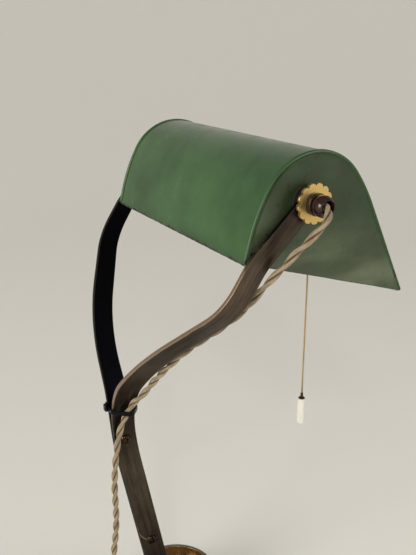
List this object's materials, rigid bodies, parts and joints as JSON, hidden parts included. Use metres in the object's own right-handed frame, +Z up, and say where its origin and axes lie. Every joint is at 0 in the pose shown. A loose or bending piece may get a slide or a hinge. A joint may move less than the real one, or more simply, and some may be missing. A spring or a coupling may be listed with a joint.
{
  "type": "desk lamp",
  "caption": "Desk lamp with a tilting enamelled trough shade on a fork of bent flat bars, scalloped pivot nuts, a pull switch and a twisted cloth flex.",
  "frame": {"origin": "centre of the base's underside, on the table", "axes": "+Z up, +X along the shade's pivot line away from the flex, -Y to the front that the shade overhangs"},
  "size_m": [0.2789, 0.285, 0.4779],
  "materials": {
    "green_enamel": "glossy vitreous enamel, white inside",
    "bronzed_steel": "brown bronzed steel, satin",
    "dark_steel": "darkened steel, satin",
    "brass": "polished, lightly tarnished",
    "aged_brass": "dark tarnish",
    "bakelite": "glossy moulded brown",
    "black_nylon": "glossy",
    "japanned_iron": "black japanned, glossy",
    "felt": "matt felt",
    "fibre": "vulcanised fibre, matt",
    "insulator": "white insulator, matt",
    "black_glass": "black glass, glossy",
    "opal_glass": "opal, smooth",
    "flex_cloth": "woven cotton over twisted cores",
    "pull_cloth": "braided cotton",
    "white_plastic": "smooth white"
  },
  "bodies": {
    "stand": {"base_casting": "japanned_iron", "base_felt": "felt", "foot_screws": "dark_steel", "cord_arm": "bronzed_steel", "far_arm": "bronzed_steel", "stem_screws": "dark_steel", "stem_nuts": "dark_steel", "cable_tie": "black_nylon", "flex_lead": "flex_cloth", "flex_coil": "flex_cloth", "coil_tie": "black_nylon", "flex_tail": "flex_cloth", "plug_collar": "bakelite", "plug_body": "bakelite", "plug_pins": "brass"},
    "shade": {"shade_sheet": "green_enamel", "cord_end_plate": "green_enamel", "far_end_plate": "green_enamel", "friction_washers": "fibre", "pivot_nipple": "brass", "lock_nut": "brass", "cord_bush": "bakelite", "far_stud": "brass", "holder_cap": "brass", "holder_barrel": "brass", "holder_ring": "brass", "holder_core": "insulator", "holder_contacts": "brass", "switch_housing": "bakelite", "bulb_glass": "opal_glass", "bulb_cap": "brass", "bulb_seal": "black_glass"},
    "cord_nut": {"cord_thumb_nut": "brass"},
    "far_nut": {"far_thumb_nut": "brass"},
    "plunger": {"switch_plunger": "brass"},
    "pull": {"pull_cord": "pull_cloth", "pull_ferrule": "aged_brass", "pull_knob": "white_plastic"}
  },
  "joints": [
    {"name": "shade_tilt", "type": "hinge", "parent": "stand", "child": "shade", "pos_m": [0, -0.05389, 0.442], "axis": [1, 0, 0], "range_deg": [-50, 40]},
    {"name": "cord_nut_turn", "type": "hinge", "parent": "shade", "child": "cord_nut", "pos_m": [0, -0.05389, 0.442], "axis": [-1, 0, 0], "range_deg": [0, 180]},
    {"name": "far_nut_turn", "type": "hinge", "parent": "shade", "child": "far_nut", "pos_m": [0, -0.05389, 0.442], "axis": [1, 0, 0], "range_deg": [0, 180]},
    {"name": "switch_pull", "type": "slide", "parent": "shade", "child": "plunger", "axis": [0, 0, -1], "range_m": [0, 0.005], "stiffness_N_per_m": 300},
    {"name": "pull_swing", "type": "hinge", "parent": "plunger", "child": "pull", "pos_m": [-0.089, -0.07789, 0.4205], "axis": [1, 0, 0], "range_deg": [-40, 50]}
  ],
  "couplings": [
    {"joint": "pull_swing", "follows": "shade_tilt", "ratio": -1}
  ]
}
